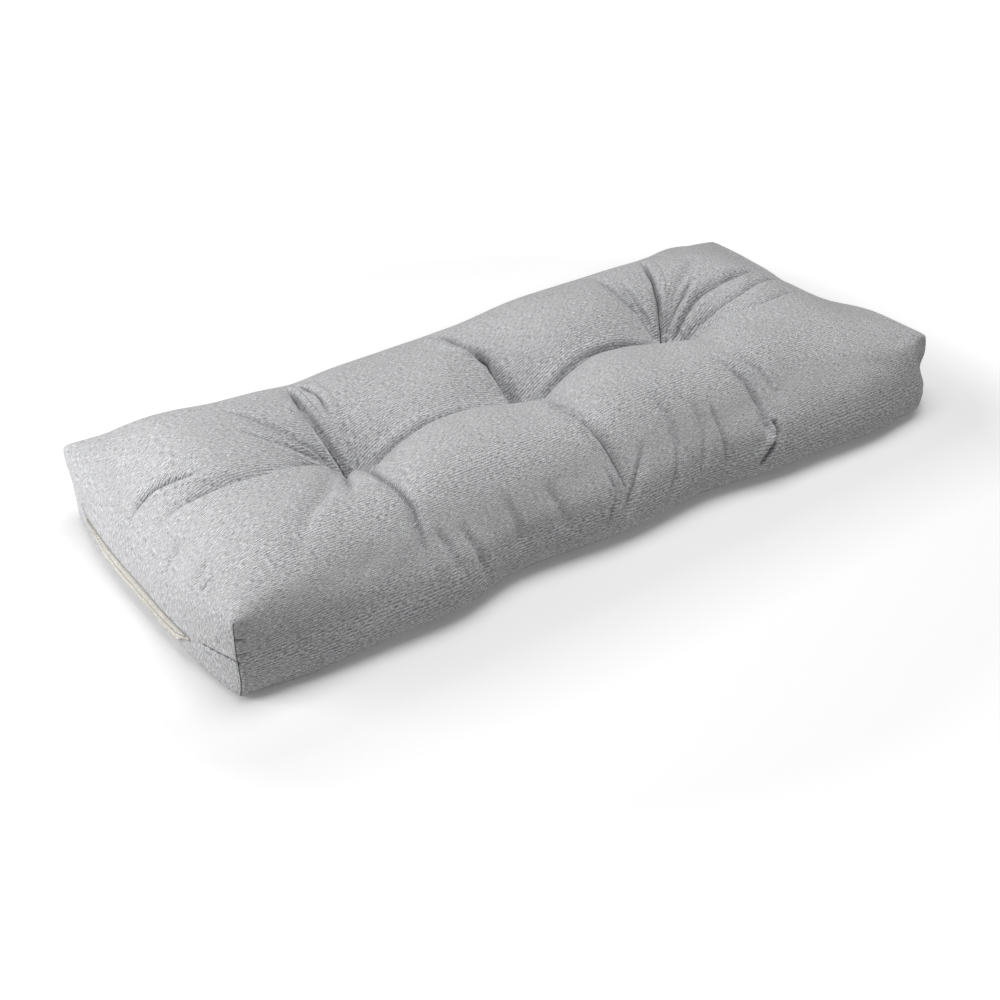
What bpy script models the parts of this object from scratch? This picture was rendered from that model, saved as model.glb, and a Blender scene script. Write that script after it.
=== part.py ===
"""Tufted bench cushion: one filled cover, drawn in at three tufts along its middle, and the strip
that closes the opening in its left end. Metres, +X along the length, +Y to the back, +Z up."""

import math

import bmesh
import bpy
from mathutils import Vector

# The cover, between its corner seams
LENGTH = 1.220
DEPTH = 0.485
CORNER_HEIGHT = 0.121
HALF_LENGTH = LENGTH / 2
HALF_DEPTH = DEPTH / 2

# How the filling rounds the cover. A rounded section is a power curve: 2 is a circle, a large
# power is a square.
END_ROUND = 0.095
SIDE_ROUND = 0.100
CORNER_REACH = 0.085
PUFFED_TOP = 2.3
PUFFED_BASE = 6.0
SEWN_CORNER = 70.0
END_BULGE = 0.019
BACK_RIGHT_SLUMP = 0.010
SLUMP_REACH = 0.160
CREST_SIDES = 3.6
CREST_MEETING = 0.160

# The long rolls: how far each crest stands above the corners, and how far the sides bulge out
ROLL_COLUMNS = ("x", "front_crest", "back_crest", "front_bulge", "back_bulge")
ROLLS = (
    (-0.61, 0.000, 0.000, 0.000, 0.000),
    (-0.50, 0.040, 0.048, 0.017, 0.018),
    (-0.31, 0.044, 0.033, 0.028, 0.020),
    (-0.19, 0.044, 0.032, 0.006, 0.020),
    (0.00, 0.046, 0.036, 0.022, 0.018),
    (0.13, 0.050, 0.056, 0.014, 0.020),
    (0.30, 0.045, 0.050, 0.036, 0.020),
    (0.46, 0.028, 0.044, 0.044, 0.018),
    (0.56, -0.004, -0.002, 0.034, 0.012),
    (0.61, 0.000, 0.000, 0.000, 0.000),
)

# The tufts, and the long valley that they draw between the two rolls
TUFTS = ((-0.290, 0.000), (0.000, 0.000), (0.290, 0.008))
TUFT_FLOOR = 0.056
TUFT_DEPTH = 0.050
TUFT_REACH = 0.120
TUFT_SLOPE = 1.5
BASE_DIMPLE = 0.024
BASE_DIMPLE_REACH = 0.070
EDGE_LIFT = 0.002  # outside its flat middle the underside stands this far clear of the floor
VALLEY_DEPTH = 0.060
VALLEY_REACH = 0.120
VALLEY_END = 0.150

# The folds that run out from the tufts: each one's tuft, far end, depth and reach to each side
FOLD_COLUMNS = ("tuft", "end_x", "end_y", "depth", "reach")
FOLDS = (
    (0, -0.320, 0.230, 0.026, 0.045),
    (0, -0.430, 0.130, 0.014, 0.035),
    (0, -0.560, -0.010, 0.026, 0.050),
    (0, -0.410, -0.190, 0.014, 0.045),
    (0, -0.315, -0.260, 0.020, 0.050),
    (1, -0.060, 0.240, 0.028, 0.045),
    (1, -0.012, -0.270, 0.030, 0.045),
    (2, 0.245, 0.210, 0.016, 0.035),
    (2, 0.360, 0.190, 0.014, 0.035),
    (2, 0.480, 0.030, 0.014, 0.040),
    (2, 0.500, -0.080, 0.012, 0.035),
    (2, 0.420, -0.160, 0.013, 0.040),
    (2, 0.312, -0.240, 0.014, 0.035),
    (2, 0.252, -0.270, 0.020, 0.035),
)

# The closing strip, sewn over the seam of the left end
STRIP_LENGTH = 0.316
STRIP_WIDTH = 0.018
STRIP_THICKNESS = 0.0020
STRIP_MIDDLE = (0.012, 0.041)
STRIP_ROWS = 30
STRIP_BANDS = 6
STRIP_GAP = 0.0004

# Rows of faces
COARSE_CELL = 0.023
FINE_CELL = 0.0165
FINE_REACH = 0.055
SIDE_ROWS = 7
SAME_HEIGHT = 1e-6

COVER_GREY = (0.47, 0.47, 0.48, 1.0)
STRIP_CREAM = (0.72, 0.70, 0.64, 1.0)


def clear_scene():
    for old in list(bpy.data.objects):
        bpy.data.objects.remove(old)


def cloth_material(name, colour, roughness):
    material = bpy.data.materials.new(name)
    material.use_nodes = True
    shader = material.node_tree.nodes["Principled BSDF"]
    shader.inputs["Base Color"].default_value = colour
    shader.inputs["Roughness"].default_value = roughness
    shader.inputs["Metallic"].default_value = 0.0
    return material


def mix(a, b, share):
    return a + (b - a) * share


def fade(distance, reach):
    """1 at no distance, falling smoothly to 0 at reach."""
    share = min(max(distance / reach, 0.0), 1.0)
    return 1.0 - share * share * (3.0 - 2.0 * share)


def puffed_drop(distance, reach):
    """How far two full rolls fall towards the crease between them: 1 in the crease, 0 at reach."""
    share = 1.0 - min(distance / reach, 1.0)
    return 1.0 - math.sqrt(1.0 - share * share)


def roll(column, x):
    """A column of the roll table at x, in smooth steps between its rows."""
    which = ROLL_COLUMNS.index(column)
    for left, right in zip(ROLLS, ROLLS[1:]):
        if x <= right[0]:
            return mix(right[which], left[which], fade(x - left[0], right[0] - left[0]))
    return 0.0


def corner_share(x, y):
    """1 on a corner seam, falling to 0 along the sides."""
    away = max(HALF_LENGTH - abs(x), HALF_DEPTH - abs(y))
    return math.exp(-((away / CORNER_REACH) ** 2))


def rounded(box_point):
    """A point of the plain box moved onto the filled cover, before its crests and tufts."""
    x, y, z = box_point
    middle = CORNER_HEIGHT / 2
    reach = (END_ROUND, SIDE_ROUND, middle)
    core_x = math.copysign(min(abs(x), HALF_LENGTH - END_ROUND), x)
    core_y = math.copysign(min(abs(y), HALF_DEPTH - SIDE_ROUND), y)
    core = Vector((core_x, core_y, middle))
    offset = Vector(box_point) - core
    puffed = PUFFED_TOP if z > middle else PUFFED_BASE
    power = mix(puffed, SEWN_CORNER, corner_share(x, y))
    size = sum(abs(o / r) ** power for o, r in zip(offset, reach)) ** (1 / power)
    return core + offset / max(size, 1.0)


def bulge(x, y, z):
    """How far the ends and the sides stand out between the corner seams."""
    level = 1.0 - min(abs(z - 0.35 * CORNER_HEIGHT) / (0.8 * CORNER_HEIGHT), 1.0) ** 2
    across = 1.0 - min(abs(y) / HALF_DEPTH, 1.0) ** 3
    near_end = fade(HALF_LENGTH - abs(x), END_ROUND)
    near_side = fade(HALF_DEPTH - abs(y), SIDE_ROUND)
    side = roll("front_bulge" if y < 0.0 else "back_bulge", x)
    return END_BULGE * across * level * near_end, side * level * near_side


def crest(x, y):
    """How far the top stands above the corners, before the tufts draw it in."""
    back_share = fade(CREST_MEETING / 2 - y, CREST_MEETING)
    height = mix(roll("front_crest", x), roll("back_crest", x), back_share)
    return height * (1.0 - min(abs(y) / HALF_DEPTH, 1.0) ** CREST_SIDES)


def valley_drop(x, y):
    """The long valley through the tufts. It ends a little past the outer two."""
    past = max(abs(x) - TUFTS[-1][0], 0.0)
    return VALLEY_DEPTH * puffed_drop(abs(y), VALLEY_REACH) * fade(past, VALLEY_END)


def from_tufts(x, y):
    """The distance to the nearest tuft."""
    return min(math.hypot(x - tuft_x, y - tuft_y) for tuft_x, tuft_y in TUFTS)


def tuft_drop(x, y):
    return TUFT_DEPTH * (1.0 - min(from_tufts(x, y) / TUFT_REACH, 1.0)) ** TUFT_SLOPE


def fold_drop(x, y):
    """The deepest of the folds at this place. Each one fades towards its far end."""
    deepest = 0.0
    for row in FOLDS:
        fold = dict(zip(FOLD_COLUMNS, row))
        start = Vector(TUFTS[fold["tuft"]])
        run = Vector((fold["end_x"], fold["end_y"])) - start
        away = Vector((x, y)) - start
        along = away.dot(run) / run.length
        aside = abs(away.cross(run)) / run.length
        if along > 0.0:
            drop = fold["depth"] * fade(along, run.length) * puffed_drop(aside, fold["reach"])
            deepest = max(deepest, drop)
    return deepest


def base_height(x, y):
    """The flat middle is pulled up at the tufts. The edges round it stand a little clear."""
    if abs(x) > HALF_LENGTH - END_ROUND or abs(y) > HALF_DEPTH - SIDE_ROUND:
        return EDGE_LIFT
    return BASE_DIMPLE * puffed_drop(from_tufts(x, y), BASE_DIMPLE_REACH)


def cover_point(box_point):
    """Where a point of the plain box lies on the filled cover."""
    x, y, z = box_point
    place = rounded(box_point)
    out_x, out_y = bulge(x, y, z)
    place.x += math.copysign(out_x, x)
    place.y += math.copysign(out_y, y)
    upper = min(max(2.0 * place.z / CORNER_HEIGHT - 1.0, 0.0), 1.0)
    drawn_in = valley_drop(x, y) + tuft_drop(x, y) + fold_drop(x, y)
    slump = BACK_RIGHT_SLUMP * fade(math.hypot(HALF_LENGTH - x, HALF_DEPTH - y), SLUMP_REACH)
    place.z += (crest(x, y) - drawn_in - slump) * upper
    if z > CORNER_HEIGHT - SAME_HEIGHT:
        place.z = max(place.z, TUFT_FLOOR)
    elif z < SAME_HEIGHT:
        place.z += base_height(x, y)
    return place


def rows_between(half, fine_at):
    """Places for the rows of faces from -half to half, closer together near the creases."""
    places = [-half]
    while places[-1] < half:
        near = min(abs(places[-1] - spot) for spot in fine_at)
        step = FINE_CELL if near < FINE_REACH else COARSE_CELL
        places.append(min(places[-1] + step, half))
    if places[-1] - places[-2] < FINE_CELL / 2:
        del places[-2]
    return places[1:-1]


def cut_rows(mesh, axis, places):
    """Cuts the mesh across one axis at each place."""
    normal = Vector((0.0, 0.0, 0.0))
    normal[axis] = 1.0
    for place in places:
        whole = mesh.verts[:] + mesh.edges[:] + mesh.faces[:]
        bmesh.ops.bisect_plane(mesh, geom=whole, plane_co=normal * place, plane_no=normal)


def make_object(name, mesh, material):
    data = bpy.data.meshes.new(name)
    mesh.to_mesh(data)
    mesh.free()
    data.materials.append(material)
    data.shade_smooth()
    made = bpy.data.objects.new(name, data)
    bpy.context.scene.collection.objects.link(made)
    return made


def make_cover(material):
    """A plain box in rows of faces, moved onto the shape of the filled cover."""
    mesh = bmesh.new()
    bmesh.ops.create_cube(mesh, size=1.0)
    bmesh.ops.translate(mesh, verts=mesh.verts, vec=(0.0, 0.0, 0.5))
    bmesh.ops.scale(mesh, verts=mesh.verts, vec=(LENGTH, DEPTH, CORNER_HEIGHT))
    ends = (-HALF_LENGTH, HALF_LENGTH)
    sides = (-HALF_DEPTH, HALF_DEPTH)
    tuft_places = tuple(tuft_x for tuft_x, _ in TUFTS)
    cut_rows(mesh, 0, rows_between(HALF_LENGTH, tuft_places + ends))
    cut_rows(mesh, 1, rows_between(HALF_DEPTH, (0.0,) + sides))
    cut_rows(mesh, 2, [CORNER_HEIGHT * row / SIDE_ROWS for row in range(1, SIDE_ROWS)])
    for vert in mesh.verts:
        vert.co = cover_point(vert.co)
    return make_object("cushion", mesh, material)


def make_strip(material, cover):
    """A flat woven strip along the seam of the left end, bent to follow the cover's bulge."""
    mesh = bmesh.new()
    bmesh.ops.create_cube(mesh, size=1.0)
    size = (STRIP_THICKNESS, STRIP_LENGTH, STRIP_WIDTH)
    bmesh.ops.scale(mesh, verts=mesh.verts, vec=size)
    half = STRIP_LENGTH / 2
    rows = [mix(-half, half, row / STRIP_ROWS) for row in range(1, STRIP_ROWS)]
    cut_rows(mesh, 1, rows)
    half = STRIP_WIDTH / 2
    bands = [mix(-half, half, band / STRIP_BANDS) for band in range(1, STRIP_BANDS)]
    cut_rows(mesh, 2, bands)
    middle_y, middle_z = STRIP_MIDDLE
    for vert in mesh.verts:
        start = Vector((-LENGTH, middle_y + vert.co.y, middle_z + vert.co.z))
        _hit, place, _normal, _face = cover.ray_cast(start, Vector((1.0, 0.0, 0.0)))
        place.x += vert.co.x - STRIP_THICKNESS / 2 - STRIP_GAP
        vert.co = place
    return make_object("closing_strip", mesh, material)


def centre_on_origin(parts):
    """Puts the origin at the bottom centre of the box round all the parts."""
    points = [vert.co for part in parts for vert in part.data.vertices]
    lowest = Vector([min(point[axis] for point in points) for axis in range(3)])
    highest = Vector([max(point[axis] for point in points) for axis in range(3)])
    middle = (lowest + highest) / 2
    for part in parts:
        for vert in part.data.vertices:
            vert.co -= Vector((middle.x, middle.y, lowest.z))


def main():
    clear_scene()
    cover = make_cover(cloth_material("cover_cloth", COVER_GREY, 0.92))
    strip = make_strip(cloth_material("strip_cloth", STRIP_CREAM, 0.9), cover)
    centre_on_origin((cover, strip))


main()
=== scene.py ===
import math

import bmesh
import bpy
import numpy as np
from mathutils import Matrix, Vector
from mathutils.bvhtree import BVHTree
from mathutils.kdtree import KDTree


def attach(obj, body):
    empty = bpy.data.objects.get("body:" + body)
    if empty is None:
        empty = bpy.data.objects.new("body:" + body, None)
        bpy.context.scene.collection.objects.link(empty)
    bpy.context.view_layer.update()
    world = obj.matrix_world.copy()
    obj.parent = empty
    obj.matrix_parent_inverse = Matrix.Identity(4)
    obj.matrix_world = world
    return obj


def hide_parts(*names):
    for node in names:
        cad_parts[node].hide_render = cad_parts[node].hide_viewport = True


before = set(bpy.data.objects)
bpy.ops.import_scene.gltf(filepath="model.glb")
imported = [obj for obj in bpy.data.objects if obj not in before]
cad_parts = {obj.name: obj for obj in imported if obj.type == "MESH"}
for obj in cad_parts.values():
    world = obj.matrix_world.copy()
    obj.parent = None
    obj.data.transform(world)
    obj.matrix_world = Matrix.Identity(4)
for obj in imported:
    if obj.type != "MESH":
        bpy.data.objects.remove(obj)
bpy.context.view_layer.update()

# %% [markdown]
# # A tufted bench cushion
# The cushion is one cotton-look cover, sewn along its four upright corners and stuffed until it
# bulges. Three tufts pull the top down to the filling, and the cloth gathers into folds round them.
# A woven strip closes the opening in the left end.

# %% [markdown]
# ## The cut of the cover
# A cover starts as flat panels. Here they are the six faces of a box, drawn as a grid of small
# cells, because cloth can only fold where it has cells to fold between.

# %% A box in small cells
CELLS = (140, 56, 14)


def grid_box():
    box = bmesh.new()
    bmesh.ops.create_cube(box, size=1.0)
    bmesh.ops.translate(box, verts=box.verts, vec=(0.0, 0.0, 0.5))
    for axis, count in enumerate(CELLS):
        along = [e for e in box.edges if abs((e.verts[0].co - e.verts[1].co)[axis]) > 0.5]
        bmesh.ops.subdivide_edges(box, edges=along, cuts=count - 1, use_grid_fill=True)
    bmesh.ops.recalc_face_normals(box, faces=box.faces)
    return box


print("grid of", CELLS, "cells")

# %% [markdown]
# ## A flat map of the cloth
# On the real cover the weave runs straight across each flat panel. The map folds the sides out flat
# round the top, so that yarns drawn on it carry on over the edges. The underside lies apart from it.
# An attribute called `cut` keeps each vertex's place on the unfilled cover, to find the seams by.

# %% The cut map
COVER = Vector((1.220, 0.485, 0.121))
UNDERSIDE_SHIFT = 2.0


def unfolded(share, facing):
    """Where a point of the box lies when the sides are folded out flat round the top."""
    x, y, z = share.x * COVER.x, share.y * COVER.y, share.z * COVER.z
    down = COVER.z - z
    if abs(facing.x) > 0.5:
        return (x + math.copysign(down, facing.x), y)
    if abs(facing.y) > 0.5:
        return (x, y + math.copysign(down, facing.y))
    if facing.z < 0.0:
        return (x, y + UNDERSIDE_SHIFT)
    return (x, y)


box = grid_box()
cut_map = box.loops.layers.uv.new("cut_map")
for face in box.faces:
    for loop in face.loops:
        loop[cut_map].uv = unfolded(loop.vert.co, face.normal)
shares = [vert.co.copy() for vert in box.verts]
panel = bpy.data.meshes.new("cover_panels")
box.to_mesh(panel)
box.free()
panel_place = np.array([(s.x * COVER.x, s.y * COVER.y, s.z * COVER.z) for s in shares])
panel.attributes.new("cut", "FLOAT_VECTOR", "POINT").data.foreach_set("vector", panel_place.ravel())
print("panels", len(panel.polygons), "cells")

# %% [markdown]
# ## Laying the panels on the filled shape
# Each vertex looks for the filled cushion along a straight line. The lines start from a flat core
# inside the filling, so they fan out at the edges and never cross.

# %% From the core out to the filling
COVER_MIDDLE = Vector((0.0011, 0.0119, 0.0))
CORE_INSET = 0.085
CORE_HEIGHT = 0.040

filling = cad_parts["cushion"]
filling_tree = BVHTree.FromPolygons(
    [vert.co for vert in filling.data.vertices],
    [tuple(face.vertices) for face in filling.data.polygons],
)


def clamp(value, limit):
    return min(max(value, -limit), limit)


def on_filling(share):
    place = Vector((share.x * COVER.x, share.y * COVER.y, share.z * COVER.z))
    core = Vector((
        clamp(place.x, COVER.x / 2 - CORE_INSET),
        clamp(place.y, COVER.y / 2 - CORE_INSET),
        CORE_HEIGHT,
    ))
    hit = filling_tree.ray_cast(core + COVER_MIDDLE, place - core)[0]
    return hit if hit is not None else place + COVER_MIDDLE


laid = [on_filling(share) for share in shares]
for vert, place in zip(panel.vertices, laid):
    vert.co = place
cover = bpy.data.objects.new("cover", panel)
bpy.context.scene.collection.objects.link(cover)
print("laid on the filling", [round(v, 3) for v in np.ptp(np.array(laid), axis=0)])

# %% [markdown]
# ## What the thread holds
# Thread holds the cover at the tufts and at its corner seams, and the floor holds its underside. Those
# vertices are pinned. All others are held softly, so that the cloth can't wander off the filling.

# %% The pins
TUFTS = ((-0.290, 0.000), (0.000, 0.000), (0.290, 0.008))
TUFT_PIN = 0.013
BASE_PIN = 0.080
FLOOR_PIN = 0.008
SOFT_HOLD = 0.08
EDGE = 1e-4


def tuft_gap(place):
    x, y = place.x - COVER_MIDDLE.x, place.y - COVER_MIDDLE.y
    return min(math.hypot(x - tuft_x, y - tuft_y) for tuft_x, tuft_y in TUFTS)


def pinned(share, place):
    on_top = share.z > 1.0 - EDGE
    on_base = share.z < EDGE
    on_corner = abs(share.x) > 0.5 - EDGE and abs(share.y) > 0.5 - EDGE
    on_floor = on_base and place.z < FLOOR_PIN
    at_tuft = on_top and tuft_gap(place) < TUFT_PIN
    under_tuft = on_base and tuft_gap(place) < BASE_PIN
    return on_corner or on_floor or at_tuft or under_tuft


held = [i for i, (share, place) in enumerate(zip(shares, laid)) if pinned(share, place)]
pins = cover.vertex_groups.new(name="pins")
pins.add(list(range(len(shares))), SOFT_HOLD, "REPLACE")
pins.add(held, 1.0, "REPLACE")
print("pinned", len(held), "of", len(shares))

# %% [markdown]
# ## Stuffing it
# The Cloth modifier does the sewing room's work. A shape key gives the panels their cut size, which
# they want to go back to, and air pressure stands in for the filling. In twenty frames the cloth
# puffs up and gathers round the tufts. Gravity is off, because the filling carries the cloth.

# %% The cloth's settings
CUT = Vector((1.240, 0.502, 0.128))
STUFF_FRAMES = 20
CLOTH_SETTINGS = (
    ("quality", 5),
    ("mass", 0.3),
    ("air_damping", 1.0),
    ("tension_stiffness", 15.0),
    ("compression_stiffness", 15.0),
    ("shear_stiffness", 5.0),
    ("bending_stiffness", 0.5),
    ("tension_damping", 5.0),
    ("compression_damping", 5.0),
    ("shear_damping", 5.0),
    ("bending_damping", 0.5),
    ("use_pressure", True),
    ("uniform_pressure_force", 4.0),
    ("vertex_group_mass", "pins"),
)


def stuff():
    cover.shape_key_add(name="laid")
    flat = cover.shape_key_add(name="flat")
    for point, share in zip(flat.data, shares):
        point.co = Vector((share.x * CUT.x, share.y * CUT.y, share.z * CUT.z))
    cloth = cover.modifiers.new("cloth", "CLOTH")
    for setting, value in CLOTH_SETTINGS:
        setattr(cloth.settings, setting, value)
    cloth.settings.rest_shape_key = flat
    cloth.settings.effector_weights.gravity = 0.0
    cloth.collision_settings.use_collision = False
    cloth.point_cache.frame_start = 1
    cloth.point_cache.frame_end = STUFF_FRAMES
    for step in range(1, STUFF_FRAMES + 1):
        bpy.context.scene.frame_set(step)


def applied(piece):
    """The piece's mesh with its modifiers applied, as a new plain mesh."""
    depsgraph = bpy.context.evaluated_depsgraph_get()
    return bpy.data.meshes.new_from_object(piece.evaluated_get(depsgraph))


print("cloth settings", len(CLOTH_SETTINGS))

# %% [markdown]
# ## Keeping it near the filled shape
# Pressure alone would blow the cover up like a balloon. A vertex that has moved further than the limit
# is brought back to it along its own line, and nothing goes under the floor.

# %% Run the cloth
FURTHEST = 0.030

stuff()
puffed = applied(cover)
moves = []
for vert, place in zip(puffed.vertices, laid):
    move = vert.co - place
    moves.append(move.length)
    if move.length > FURTHEST:
        vert.co = place + move * (FURTHEST / move.length)
    vert.co.z = max(vert.co.z, 0.0)
bpy.data.objects.remove(cover)
print("moved", round(float(np.median(moves)) * 1000, 1), "mm, most", round(max(moves) * 1000, 1))

# %% [markdown]
# ## Finer cells
# One step of subdivision halves the cells and rounds the corners of the grid.

# %% Subdivide
cushion = bpy.data.objects.new("cushion_cover", puffed)
bpy.context.scene.collection.objects.link(cushion)
finer = cushion.modifiers.new("finer", "SUBSURF")
finer.levels = finer.render_levels = 1
cushion_mesh = applied(cushion)
cushion.modifiers.remove(finer)
cushion.data = cushion_mesh
print("cover", len(cushion_mesh.polygons), "cells")
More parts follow.
